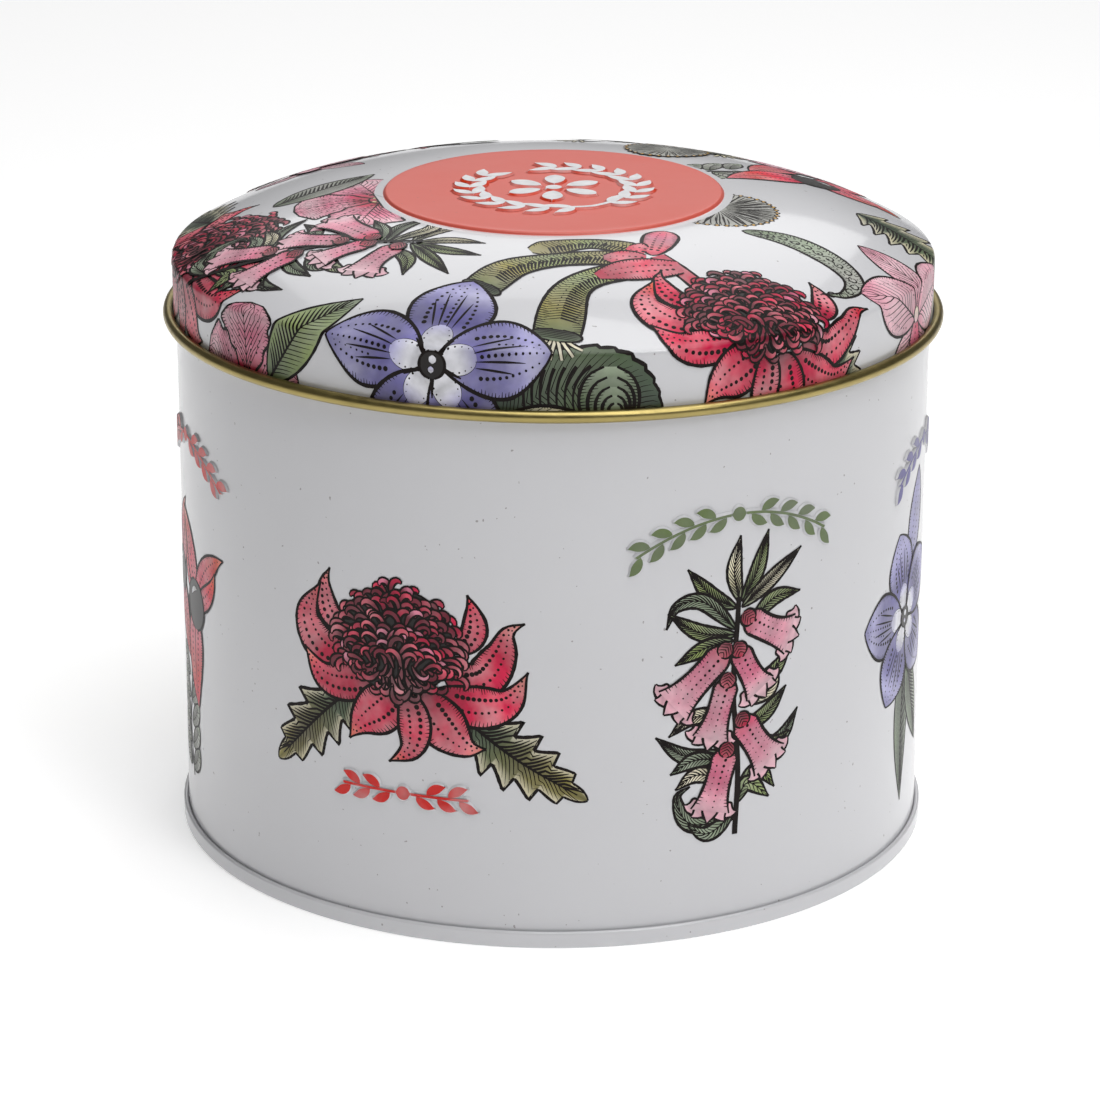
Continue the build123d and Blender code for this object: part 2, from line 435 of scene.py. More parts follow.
HEATH_LEAVES = (
    (0 + 15j, -5 + 18j, -9.6 + 23.4j), (0.6 + 16j, -0.6 + 22j, 0.6 + 28.4j), (1 + 16j, 4 + 21j, 6.4 + 28.6j),
    (1 + 15j, 6 + 18.4j, 13.8 + 24j), (0 + 11j, -6.5 + 17j, -11.5 + 16.6j, -13.4 + 12.6j),
    (0 + 10j, -7 + 11.4j, -13.2 + 15.6j), (-0.5 + 9j, -6 + 8.4j, -11.8 + 5.8j),
    (3 + 12j, 8 + 15.6j, 13.8 + 15.8j), (3 + 0.5j, 8 + 1.6j, 11.8 + 5.8j), (1 - 3j, 7.4 - 1.6j, 9 + 3j),
    (1 - 8j, 6.4 - 6j, 11 - 1.6j),
    (3 - 14j, 10 - 11.4j, 13.8 - 6.4j), (2 - 10j, 8 - 12j, 12 - 10.4j), (-1 - 5j, -8 - 4.4j, -12.8 - 7.6j),
    (-2 - 12j, -9.4 - 11.6j, -15.2 - 7.4j), (-3 - 13j, -8 - 12.6j, -12.4 - 14.8j),
    (-2 - 17j, -7.4 - 15.4j, -11.4 - 17.8j), (0 - 25j, -8.4 - 24.6j, -11 - 19.4j, -8.6 - 17.4j),
    (0 - 24j, -5 - 27j, -9 - 24.8j), (0.6 - 20j, 5 - 16.4j, 8.8 - 20.6j), (0.6 - 22j, 3 - 18.6j, 7.6 - 22.2j),
)

HEATH_BELLS = (
    (2 + 13.2j, -40, 11, 5.8, 22), (0.4 + 7.6j, -66, 10, 5.2, 10), (-1.8 + 7.8j, -135, 14, 6.2, -4),
    (-1.4 + 2.2j, -106, 11.6, 5.6, -2), (1.2 - 5.8j, -60, 11.4, 6.2, 8), (-1.3 - 11j, -107, 12.2, 6.0, 2),
)


def heath(m):
    """A sprig of heath: a dark stem with narrow leaves and six hanging bells."""
    for points in HEATH_LEAVES:
        heath_leaf(m, *points)
    m.stem(through([0.4 - 28j, 0.8 - 15j, -0.4 + 0j, 0.2 + 12j, 0.4 + 17j]), 1.1, taper=0.1)
    for row in HEATH_BELLS:
        bell(m, *row)


def bluebell(m, turn=90):
    """An open five-petalled flower: violet petals with dotted veins, white lobes and a dark eye."""
    length, width = 19, 14.5
    for k in range(5):
        heading = turn + 72 * k + RNG.uniform(-3, 3)
        line = sweep(polar(1.2, heading), heading, length, RNG.uniform(-10, 10))
        rows = (0, 0.4, 0.94, 0.36), (0.6, 0.36, 0.9, 0.46), (-0.6, 0.36, 0.9, 0.4), (0.3, 0.55, 0.92, 0.24)
        m.blade(line, width, [LILAC, VIOLET, INDIGO, VIOLET, LILAC, VIOLET], (0.56, 0.75, 0.8), 0.72,
                ticks=0.17, across=11, rows=rows)
        lobe = sweep(polar(1.6, heading), heading, length * 0.33, spacing=0.5)
        lobe_tones = [WHITE, WHITE, LILAC]
        layer = m.blade(lobe, width * 0.36, lobe_tones, ellipse(lobe), 0.12, rows=pair(0.9, 0.1, 0.98, 0.24))
        for lean in (-0.5, -0.2, 0.2, 0.5):
            aim = heading + 26 * lean
            m.pen(sweep(polar(length * 0.4, aim), aim, length * (0.5 - 0.3 * abs(lean))), layer + 1, 0.42)
    for k in range(5):
        m.stem(sweep(0, turn + 72 * k + 36, 5.5, spacing=0.4), 1.3, taper=0.8)
    ball(m, 0, 2.3, [BLACK])
    ball(m, 0.1 + 0.9j, 0.7, [WHITE], 0.1)
    ball(m, -0.2 - 0.8j, 0.55, [WHITE, LILAC], 0.1)


def bluebell_spray(m):
    """A bluebell on its stalk, over a long leaf and a half-open bud."""
    for heading, length, start in ((-96, 31, 1 - 6j), (-70, 22, 3 - 9j)):
        leaf = sweep(start, heading, length, 14, 1.5)
        m.blade(leaf, 7.5, [MOSS, SAGE, SAGE], (0.4, 0.6, 1), rib=0.6, veins=20, dark_side=1, lean=0.15,
                core=0.7)
    m.blade(sweep(2 + 8j, 62, 20, 20), 9, [VIOLET, LILAC, VIOLET], (0.5, 0.6, 0.8), ticks=0.2,
            rows=pair(0.3, 0.2, 0.9, 0.28))
    bluebell(part_of(m, 0, scale=0.86), turn=100)


def pea_flower(m, start, heading, scale):
    """One desert pea: long red standards, a glossy black boss, and a keel that hangs below it."""
    standards = (58, 15, -55, 4.6), (24, 20, 40, 6.4), (-24, 20, -40, 6.4), (-58, 15, 55, 4.6)
    for spread, length, bend, width in standards:
        line = sweep(start, heading + spread, length * scale, bend, 1.8, 0.8)
        m.blade(line, width * scale, [CRIMSON, CORAL, CORAL, RED, ORANGE], (0.42, 0.6, 1.1), ticks=0.3,
                rows=((0.2, 0.25, 0.9, 0.34), (-0.45, 0.3, 0.8, 0.2)))
    keel = sweep(start, heading + 180, 21 * scale, 28, 1.4)
    m.blade(keel, 9.5 * scale, [CRIMSON, CORAL, RED, CORAL], (0.4, 0.6, 0.9), ticks=0.2, rib=0.4,
            rows=pair(0.45, 0.2, 0.9, 0.34))
    ball(m, start, 5.0 * scale, [BLACK], 0.7)
    gleam = sweep(start + polar(2.9 * scale, 150), 60, 4.2 * scale, -70, spacing=0.4)
    m.blade(gleam, 1.1, [WHITE, GREY], edge=0.1, across=3)


def desert_pea(m):
    """Two pea flowers over a stem of small grey leaflets."""
    m.stem(through([0 + 2j, 1.5 - 12j, -1 - 24j, 1 - 34j]), 1.3, taper=0.4)
    for y in np.linspace(-14, -32, 5):
        for side in (-1, 1):
            leaf = sided(side, sweep(0.6 + y * 1j, 18, 7.6, 50, spacing=0.5))
            m.blade(leaf, 4.0, [MOSS, GREY, SAGE], (0.55, 0.6, 0.7), 0.5, rib=0.3, veins=6, dark_side=side)
    pea_flower(m, -7 + 5j, 108, 0.86)
    pea_flower(m, 6 + 2j, 80, 0.98)


def paw_tube(m, line, width=5.4, foot=0.33, open_mouth=True):
    """One flower of a kangaroo paw: a woolly olive tube on a crimson foot, with stamens if it is open."""
    t = shares(line)
    end = heading_of(line[-1] - line[-2])
    if open_mouth:
        for spread in np.linspace(-40, 40, 7):
            stamen = sweep(line[-1] - polar(1.8, end), end + spread, 6.4, spread * 0.9, 1.3, 0.5)
            m.stem(stamen, 1.0, [CREAM], 0.4, 0.26)
    shape = (0.6 + 0.4 * t + 0.1 * np.sin(3 * np.pi * t)) * np.minimum(1, (t + 0.04) * 5) ** 0.5
    shape *= 1 if open_mouth else np.minimum(1, (1.02 - t) * 6) ** 0.5
    tones = [OLIVE, OLIVE, LIME, OLIVE, MOSS if open_mouth else OLIVE]
    m.blade(line, width, tones, shape, 0.7, ticks=0.55, across=9, veins=int(len(line) * 0.75), dark_side=1,
            lean=0.03, rows=(*pair(0.3, 0.2, 0.8, 0.3), (0, 0.3, 0.85, 0.24)))
    base = line[: max(5, int(len(line) * foot))]
    cut_off = swell(np.linspace(0.12, 0.9, len(base)))
    m.blade(base, width * 0.92, [CRIMSON, CORAL, CRIMSON], cut_off, 0.55, ticks=0.3,
            rows=((0.3, 0.1, 0.9, 0.36), (-0.3, 0.1, 0.9, 0.3)))
    if open_mouth:
        collar = sweep(line[-1] - polar(2.4, end), end, 3.0, spacing=0.4)
        m.blade(collar, width * 1.12, [BLACK, MOSS], ellipse(collar), 0.5, veins=6, lean=0)


def kangaroo_paw(m):
    """A fan of woolly tubes on a crimson stem."""
    m.stem(through([2 - 27j, 0 - 14j, 0.5 - 4j]), 3.0, [CRIMSON, CORAL, CRIMSON], 0.2, 0.6)
    for heading, bend in ((168, 42), (14, -42), (138, 26), (42, -28), (92, 12)):
        m.stem(sweep(0.5 - 5j, heading, 6, spacing=0.5), 2.2, [CRIMSON, CORAL], 0.2)
        paw_tube(m, sweep(0.5 - 5j + polar(4.5, heading), heading, 18, bend, 1.2, 0.7))


def scrolls(m, line, size):
    """A chain of pen scrolls along a line, up and down by turns."""
    layer = m.sheet.cover(m.place(np.stack([line - size * 1j, line + size * 1j], 1)), 1)
    for k in range(2, len(line) - 3, 3):
        side = 1 if k % 6 < 3 else -1
        aim = heading_of(line[k + 1] - line[k])
        m.pen(sweep(line[k], aim + 70 * side, size * 2.6, -330 * side, 1.3, 0.3), layer, 0.34, 0.5)


def leaning_paw(m):
    """A kangaroo paw laid on its side: two open tubes that bow down to the left, a closed one, and a bud."""
    m.stem(through([13 - 16j, 7 - 8j, 1 + 0j]), 3.4, [CRIMSON, CORAL, CRIMSON], 0.1, 0.6)
    bud = through([0 + 0j, 1.4 + 7j, 2.6 + 13j], 0.6)
    m.blade(bud, 6.4, [CRIMSON, CORAL, PINK, CORAL], (0.7, 0.5, 0.5), 0.66, ticks=0.4,
            rows=pair(0.3, 0.2, 0.9, 0.36))
    closed = through([-1 + 2j, -11 + 4.6j, -21.5 + 1j], 0.7)
    paw_tube(m, closed, 7.0, 0.2, open_mouth=False)
    scrolls(m, closed[8:-4], 1.0)
    middle = through([-1 - 2j, -12 - 2.4j, -24 - 6j, -30.5 - 13.5j], 0.7)
    paw_tube(m, middle, 7.4, 0.24)
    scrolls(m, middle[12:-8], 1.1)
    paw_tube(m, through([5 - 4j, -6 - 7.4j, -14 - 14j, -17 - 28j], 0.7), 8.2, 0.45)


def orchid(m):
    """Three narrow sepals, two broad petals and a small dark lip."""
    for headings, width in (((90, 222, 318), 8.5), ((28, 152), 13)):
        for heading in headings:
            line = sweep(polar(1, heading), heading, 19, RNG.uniform(-12, 12))
            m.blade(line, width, [PINK, BLUSH, BLUSH, PINK], (0.5, 0.7, 0.8), across=9, rib=0.4, veins=9,
                    lean=0.3, ticks=0.16, rows=pair(0.75, 0.2, 0.9, 0.2))
    lip = sweep(1j, -90, 10, spacing=0.6)
    m.blade(lip, 7, [CRIMSON, PINK, BLUSH], (0.65, 0.6, 0.6), ticks=0.3, rows=((0, 0.2, 0.9, 0.3),))
    ball(m, 1.2j, 1.5, [BLUSH, CREAM])


def orchid_spray(m):
    """An orchid above its stem and two leaves."""
    m.stem(through([0 + 2j, -2 - 12j, 1 - 28j]), 1.6, [MOSS, SAGE], 0.3)
    for side, y in ((1, -16), (-1, -21)):
        leaf = sided(side, sweep(y * 1j, 28, 17, 34))
        m.blade(leaf, 5.4, [MOSS, SAGE, OLIVE], rib=0.5, veins=15, dark_side=side, lean=0.15, core=0.7)
    orchid(part_of(m, 4j))


def rose(m):
    """A ruffled five-petalled flower with dark veins that run out of a dark throat."""
    for k in range(5):
        heading = 72 * k + 20
        line = sweep(polar(1, heading), heading, 15.5, RNG.uniform(-8, 8), spacing=0.6)
        t = shares(line)
        ruffle = swell(t, 0.74, 0.9, 0.5) * (1 + 0.07 * np.sin(26 * t))
        m.blade(line, 15, [DEEP, CRIMSON, PINK, PINK, BLUSH, PINK], ruffle, 0.62, across=11, ticks=0.2,
                veins=9, lean=0.5, rib=0.4, rows=pair(0.32, 0.2, 0.95, 0.3) + pair(0.7, 0.4, 0.95, 0.24))
    ball(m, 0, 2.6, [DEEP, CRIMSON], 0.5)
    for k in range(9):
        ball(m, polar(1.3 * (k % 2) + 0.7, 40 * k), 0.5, [GOLD, CREAM], 0.15)


def pompom(m, radius=8.0, tone=GREY):
    """A fluffy round head: fine hairs round a dark middle, and a row of golden beads along its rim."""
    ball(m, 0, radius, [tone], 0.4)
    corners = radius * np.array([[-1 - 1j, 1 - 1j], [-1 + 1j, 1 + 1j]])
    layer = m.sheet.cover(m.place(corners), 1)
    hairs = int(11 * radius)
    for k in range(hairs):
        angle = 360 * k / hairs
        inner = radius * (0.16, 0.5, 0.32, 0.62)[k % 4]
        hair = sweep(polar(inner, angle), angle, radius * 0.98 - inner, RNG.uniform(-22, 22))
        m.pen(hair, layer, 0.026 * radius, 0.7)
    beads = int(3.6 * radius)
    for k in range(beads):
        ball(m, polar(radius, 360 * k / beads), 0.45, [GOLD], 0.3)


def scroll_leaf(m, *points):
    """A long curved leaf with a band of scrolls along it."""
    line = through(points, 0.8)
    m.blade(line, 6, [MOSS, SAGE, GREY, SAGE], (0.4, 0.5, 1.2), 0.66, ticks=0.5, across=9,
            rows=((0.6, 0.1, 0.95, 0.26), (-0.6, 0.1, 0.95, 0.3), (-0.1, 0.1, 0.9, 0.36)))
    scrolls(m, line, 1.8)


def curled_leaf(m):
    """A scrolled leaf that curls back on itself."""
    scroll_leaf(m, 0 + 0j, 9 - 1.6j, 17 - 6.6j, 20.3 - 12j, 18.4 - 17.4j, 14 - 19.6j)


def curled_fern(m):
    """A broad dark leaf rolled up on itself, with heavy lines into the roll and a pale fold below."""
    leaf = through([-18 - 3j, -4 + 2j, 8 + 1j, 20 - 6j], 0.5)
    t = shares(leaf)
    toothed_edge = swell(t, 0.6, 0.5, 0.6) * (0.93 + 0.09 * (t * 16 % 1))
    m.blade(leaf, 17, [FOREST, MOSS, FOREST], toothed_edge, 0.9, across=11, veins=30, core=0.7)
    roll = 8 - 0.4j
    for radius in np.arange(7.6, 19, 1.7):
        start = 180 - np.degrees(np.arcsin(min(1, 6.6 / radius)))
        m.stem(roll + polar(radius, np.linspace(start, 192, 14)), 0.75)
    for share in (1, 0.78, 0.58, 0.4, 0.24, 0.1):
        ball(m, roll + (0.6 - 0.9j) * (1 - share) * 3, 6.4 * share, [FOREST, MOSS, SAGE], 0.8, ticks=0.3)
    ball(m, 16.4 - 4.4j, 2.9, [MOSS, FOREST], 0.7, ticks=0.4)
    ball(m, 16.2 - 4.8j, 1.5, [FOREST], 0.6)
    fold = through([-17 - 2j, -6 - 2.5j, 4 - 6j, 13 - 11j], 0.8)
    m.blade(fold, 4.2, [SAGE, CREAM, SAGE], edge=0.7, ticks=0.3, rib=0.5, veins=14, dark_side=-1)


def broad_leaf(m, length=26.0, width=10.0, bend=16, tones=(MOSS, LIME, SAGE)):
    """One ribbed leaf that sets off to the right."""
    line = sweep(-length / 2, -bend / 2, length, bend)
    m.blade(line, width, tones, (0.42, 0.6, 1), 0.62, rib=0.6, veins=19, dark_side=1, lean=0.12, core=0.8)


def saw_leaf(m):
    """One saw-edged leaf that sets off to the right."""
    line = sweep(-12, 8, 24, -16, spacing=0.35)
    m.blade(line, 17, [FOREST, MOSS, SAGE], toothed(line, 6), 0.62, rib=0.7, veins=20, dark_side=-1,
            lean=0.12, pale=CREAM, core=0.6)


def wattle(m):
    """A spray of fluffy yellow balls between long curved leaves."""
    for heading, length, bend in ((-112, 30, 26), (-68, 28, -30), (118, 22, -26), (58, 22, 34)):
        leaf = sweep(0, heading, length, bend)
        m.blade(leaf, 5.5, [MOSS, SAGE, MOSS], rib=0.4, veins=18, dark_side=1, lean=0.12, core=0.8)
    m.stem(through([0 + 20j, 1 + 6j, -1 - 6j, 0 - 20j]), 1.2)
    for place in (18j, -6 + 11j, 6 + 8j, -7 + 1j, 7 - 3j, -4 - 9j, 5 - 13j):
        pompom(part_of(m, place), 4.4, YELLOW)


def garland(m, tone, width, rise):
    """A raised ornament in place of any lettering: a low arch of leaves, up and down by turns."""
    def on_arch(x):
        return x + 1j * rise * (1 - (2 * x / width) ** 2)

    def press(line, stroke, shape, slope=0.45):
        m.raised(line, stroke, tone, ENAMEL, shape, slope)

    berry = sweep(on_arch(0) - 1.3, 0, 2.6, spacing=0.4)
    press(berry, 2.6, ellipse(berry))
    for side in (-1, 1):
        stalk = on_arch(np.linspace(1.6, width / 2, int(width)))
        press(sided(side, stalk), 0.5, np.ones(len(stalk)))
        for k, x in enumerate(np.arange(2.2, width / 2 - 0.6, 2.0)):
            slope = heading_of(on_arch(x + 1) - on_arch(x))
            turn = 46 if k % 2 else -46
            leaf = sweep(on_arch(x) + polar(0.5, slope + turn), slope + turn, 3.9, -0.8 * turn, spacing=0.4)
            press(sided(side, leaf), 1.8, (0.5, 0.6, 0.9), 0.3)


def wreath(m):
    """The raised ornament of the lid's panel: a six-petalled rosette in an open wreath of leaves."""
    def press(line, stroke, shape=None):
        m.raised(line, stroke, SILVER, PANEL_RED, shape)

    radius = 15.5
    for k in range(6):
        press(sweep(polar(2.8, 60 * k), 60 * k, 6.4, spacing=0.5), 3.8, (0.6, 0.6, 0.6))
    middle = sweep(-1.5, 0, 3.0, spacing=0.4)
    press(middle, 3.0, ellipse(middle))
    for side in (-1, 1):
        press(sided(side, sweep(-1j * radius, 8, 2.55 * radius, 146, spacing=0.8)), 1.0)
        for k in range(9):
            for turn, length in ((42, 6.0), (-42, 5.0)):
                along = 17 * k + 14
                leaf = sweep(polar(radius, along - 90), along + turn, length, -turn * 0.5, spacing=0.5)
                press(sided(side, leaf), 2.3, (0.45, 0.7, 1))


# ---- Materials ----


class Finish:
    """A material, with short ways to build its nodes."""

    def __init__(self, name, base, roughness, **settings):
        self.material = bpy.data.materials.new(name)
        self.material.use_nodes = True
        self.sockets = self.material.node_tree.nodes["Principled BSDF"].inputs
        settings.update(Base_Color=(*base, 1), Roughness=roughness, Coat_Roughness=0.08)
        for socket, value in settings.items():
            self.sockets[socket.replace("_", " ")].default_value = value

    def node(self, kind, **settings):
        made = self.material.node_tree.nodes.new(kind)
        for key, value in settings.items():
            if key in made.inputs:
                made.inputs[key].default_value = value
            else:
                setattr(made, key, value)
        return made

    def join(self, source, target):
        self.material.node_tree.links.new(source, target)

    def noise(self, scale, detail):
        """Noise in the object's own space, so that it stays on the surface; scale is in spots per metre."""
        texture = self.node("ShaderNodeTexNoise", Scale=scale, Detail=detail)
        self.join(self.node("ShaderNodeTexCoord").outputs["Object"], texture.inputs["Vector"])
        return texture.outputs["Fac"]

    def vary(self, target, scale, detail, *stops):
        """Drives a socket from noise through a colour ramp; its two stops are (position, grey or colour)."""
        ramp = self.node("ShaderNodeValToRGB")
        for element, (at, tone) in zip(ramp.color_ramp.elements, stops):
            element.position = at
            element.color = (*np.broadcast_to(tone, 3), 1)
        self.join(self.noise(scale, detail), ramp.inputs["Fac"])
        self.join(ramp.outputs["Color"], target)


def stoved_enamel(name, base, roughness, coat, specks):
    """Enamel that is a little uneven: faint clouds of tone, a few dust pits, and a slight orange peel."""
    f = Finish(name, base, roughness, Coat_Weight=coat)
    spotted = f.node("ShaderNodeMix", data_type="RGBA")
    f.vary(spotted.inputs["Factor"], 1300, 0, (0.855, 0), (0.865, specks))
    f.vary(spotted.inputs["A"], 22, 2, (0.3, base * 0.975), (0.7, base))
    spotted.inputs["B"].default_value = (0.12, 0.1, 0.09, 1)
    f.join(spotted.outputs["Result"], f.sockets["Base Color"])
    f.vary(f.sockets["Roughness"], 60, 3, (0.3, roughness), (0.7, roughness * 1.25))
    bump = f.node("ShaderNodeBump", Strength=0.03, Distance=0.0002)
    f.join(f.noise(260, 2), bump.inputs["Height"])
    f.join(bump.outputs["Normal"], f.sockets["Normal"])
    return f.material


def white_enamel():
    return stoved_enamel("white_enamel", ENAMEL, 0.3, coat=0.6, specks=0.6)


def red_enamel():
    return stoved_enamel("red_enamel", PANEL_RED, 0.36, coat=0.1, specks=0.2)


def gold_lacquer():
    """Clear gold lacquer over bright tinplate, a little uneven in its tone and shine."""
    f = Finish("gold_lacquer", LACQUER, 0.3, Metallic=1.0)
    f.vary(f.sockets["Base Color"], 130, 4, (0.25, LACQUER * 0.8), (0.75, LACQUER))
    f.vary(f.sockets["Roughness"], 420, 3, (0.3, 0.28), (0.7, 0.42))
    return f.material


def wash_ink():
    """Translucent printed colour: the tone of each patch, granular like watercolour, under the varnish."""
    f = Finish("print_wash", WHITE, 0.36, Specular_IOR_Level=0.35)
    tone = f.node("ShaderNodeAttribute", attribute_name="tone")
    grain = f.node("ShaderNodeHueSaturation")
    f.join(tone.outputs["Color"], grain.inputs["Color"])
    f.vary(grain.inputs["Value"], 420, 4, (0.25, 0.82), (0.75, 1.08))
    f.vary(grain.inputs["Saturation"], 160, 3, (0.25, 0.65), (0.75, 1.25))
    f.join(grain.outputs["Color"], f.sockets["Base Color"])
    return f.material


def line_ink():
    """Near-black ink that lies a little thinner in places."""
    f = Finish("print_ink", BLACK, 0.4, Specular_IOR_Level=0.12)
    f.vary(f.sockets["Base Color"], 700, 3, (0.3, BLACK * 0.7), (0.75, BLACK * 1.5))
    return f.material


def floor_paper():
    """Matt white paper that glows a little, as a floor lit from all round does."""
    paper = Finish("floor_paper", colour("f7f7f7"), 0.9, Emission_Color=(1, 1, 1, 1), Emission_Strength=0.34)
    return paper.material


# ---- Sheet metal: a line through the middle of the sheet, thickened and turned round the tin's axis ----

STRETCH = 1.5  # the longest step along a sheet's middle line


def straight(start, end):
    """A straight stretch of the middle line, as (r, z) points, each with its left-hand normal."""
    start, end = np.array(start), np.array(end)
    length = np.hypot(*(end - start))
    along = (end - start) / length
    left = np.array([-along[1], along[0]])
    return [(start + (end - start) * s, left) for s in np.linspace(0, 1, int(np.ceil(length / STRETCH)) + 1)]


def arc(centre, radius, start, turn):
    """An arc of the middle line, from the angle start through turn, in degrees."""
    n = max(3, int(np.ceil(max(abs(turn) / 14, abs(radians(turn)) * radius / STRETCH))))
    angles = np.radians(np.linspace(start, start + turn, n + 1))
    outs = np.stack([np.cos(angles), np.sin(angles)], 1)
    return [(centre + radius * out, -np.sign(turn) * out) for out in outs]


def pressed_step(r, z, rise):
    """The two bends of a small pressed step, and how far out it ends."""
    up = 1 if rise > 0 else -1
    turn = np.degrees(np.arccos(1 - abs(rise) / (2 * STEP_BEND)))
    far = r + 2 * STEP_BEND * np.sin(np.radians(turn))
    first = arc((r, z + up * STEP_BEND), STEP_BEND, -90 * up, turn * up)
    second = arc((far, z + rise - up * STEP_BEND), STEP_BEND, (90 + turn) * up, -turn * up)
    return first + second, far


def joined(*stretches):
    """One list of middle points and left-hand normals, with each join's double point left out."""
    points, sides = [], []
    for stretch in stretches:
        for point, side in stretch:
            if not points or np.hypot(*(point - points[-1])) > 1e-6:
                points.append(point)
                sides.append(side)
    return np.array(points), np.array(sides)


def lid_line():
    """The lid from its middle to its rolled foot, and the height of its shoulder bend's centre."""
    panel = LID_TOP - HALF
    _, width = pressed_step(0, 0, -PANEL_STEP)
    edge = PANEL_RADIUS - width / 2
    step, foot = pressed_step(edge, panel, -PANEL_STEP)
    reach = SKIRT - foot
    radius = (reach**2 + DOME_RISE**2) / (2 * DOME_RISE)
    centre = panel - PANEL_STEP - radius
    shoulder = centre + np.sqrt((radius - SHOULDER) ** 2 - (reach - SHOULDER) ** 2)
    meet = np.degrees(np.arctan2(shoulder - centre, reach - SHOULDER))
    line = joined(
        straight((0, panel), (edge, panel)),
        step,
        arc((foot, centre), radius, 90, meet - 90),
        arc((SKIRT - SHOULDER, shoulder), SHOULDER, meet, -meet),
        straight((SKIRT, shoulder), (SKIRT, FOOT_CURL_HEIGHT)),
        arc((SKIRT + FOOT_CURL, FOOT_CURL_HEIGHT), FOOT_CURL, 180, 305),
    )
    return line, shoulder


def body_line(shoulder):
    """The body from its hook in the double seam, round the fold and up to the curl of its mouth."""
    hook, hook_top = WALL + 2 * SEAM_LAYER, 2.2
    fold = SEAM_LAYER
    turn_up = fold + SEAM_LAYER + HALF
    mouth = shoulder + 0.155
    return joined(
        straight((hook, hook_top), (hook, turn_up)),
        arc((WALL + fold, turn_up), fold, 0, -180),
        straight((WALL, turn_up), (WALL, mouth)),
        arc((WALL - MOUTH_CURL, mouth), MOUTH_CURL, 0, 290),
    )


def base_line():
    """The base from its middle, over its raised ring, down the chuck wall and round the seam to its hook."""
    chuck, hook, hook_foot = WALL - SEAM_LAYER, WALL + SEAM_LAYER, 1.05
    corner, foot = 0.6, 0.35
    bead_start, bead_end, bead_rise = BEAD
    up, bead_in = pressed_step(bead_start, BASE_PANEL, bead_rise)
    down, bead_out = pressed_step(bead_end, BASE_PANEL + bead_rise, -bead_rise)
    fold = (OUTER_WALL - hook) / 2
    top = SEAM_TOP - HALF - fold
    return joined(
        straight((0, BASE_PANEL), (bead_start, BASE_PANEL)),
        up,
        straight((bead_in, BASE_PANEL + bead_rise), (bead_end, BASE_PANEL + bead_rise)),
        down,
        straight((bead_out, BASE_PANEL), (chuck - corner, BASE_PANEL)),
        arc((chuck - corner, BASE_PANEL - corner), corner, 90, -90),
        straight((chuck, BASE_PANEL - corner), (chuck, HALF + foot)),
        arc((chuck + foot, HALF + foot), foot, 180, 90),
        straight((chuck + foot, HALF), (OUTER_WALL - foot, HALF)),
        arc((OUTER_WALL - foot, HALF + foot), foot, 270, 90),
        straight((OUTER_WALL, HALF + foot), (OUTER_WALL, top)),
        arc((OUTER_WALL - fold, top), fold, 0, 180),
        straight((hook, top), (hook, hook_foot)),
    )


def around(extra=()):
    """The angles of a sheet's columns, in radians, with extra ones where a fine feature needs them."""
    return np.sort([*np.linspace(0, 2 * np.pi, COLUMNS, endpoint=False), *extra])


def cells(rows, columns, closed=False):
    """The corners of each cell in a grid of points, which may close up both ways."""
    i, j = np.mgrid[:rows - (not closed), :columns - (not closed)]
    down, right = (i + 1) % rows * columns, (j + 1) % columns
    return np.stack([i * columns + j, down + j, down + right, i * columns + right], -1).reshape(-1, 4)


@contextmanager
def reworked(mesh):
    """Opens a mesh for bmesh's operators, and writes it back after them."""
    work = bmesh.new()
    work.from_mesh(mesh)
    yield work
    work.to_mesh(mesh)
    work.free()


def add(name, data):
    made = bpy.data.objects.new(name, data)
    bpy.context.scene.collection.objects.link(made)
    return made


def sheet_piece(name, line, outside, angles, materials, paint, press=None):
    """A closed sheet of tinplate turned round the axis.

    outside is 1 where the printed side is left of the line and -1 where it is right. paint gives a face's
    material from its radius and whether it is on the outside. press moves the outer and inner skins.
    """
    points, sides = line
    rows = np.concatenate([points + HALF * outside * sides, (points - HALF * outside * sides)[::-1]])
    ring = np.empty((len(rows), len(angles), 3))
    ring[..., 0] = np.outer(rows[:, 0], np.cos(angles))
    ring[..., 1] = np.outer(rows[:, 0], np.sin(angles))
    ring[..., 2] = rows[:, 1:]
    if press is not None:
        ring += press(ring, len(points))
    quads = cells(len(rows), len(angles), closed=True)[:, ::outside]
    mesh = bpy.data.meshes.new(name)
    mesh.from_pydata((ring.reshape(-1, 3) * MM).tolist(), [], quads.tolist())
    radii = (rows[:, 0] + np.roll(rows[:, 0], -1)) / 2
    slots = [paint(radius, k < len(points) - 1) for k, radius in enumerate(radii)]
    mesh.polygons.foreach_set("material_index", np.repeat(slots, len(angles)).astype(np.int32))
    for material in materials:
        mesh.materials.append(material)
    with reworked(mesh) as work:
        bmesh.ops.remove_doubles(work, verts=work.verts, dist=1e-7)
    mesh.shade_smooth()
    mesh.set_sharp_from_angle(angle=radians(50))
    return add(name, mesh)


# ---- Laying the print on the metal ----


def on_body(flat, above):
    """Flat print coordinates to the body's wall: x runs round it and y up it."""
    angle = flat.real / BODY_RADIUS
    r = BODY_RADIUS + above
    return np.stack([r * np.sin(angle), -r * np.cos(angle), flat.imag + EMBLEM_MIDDLE], -1)


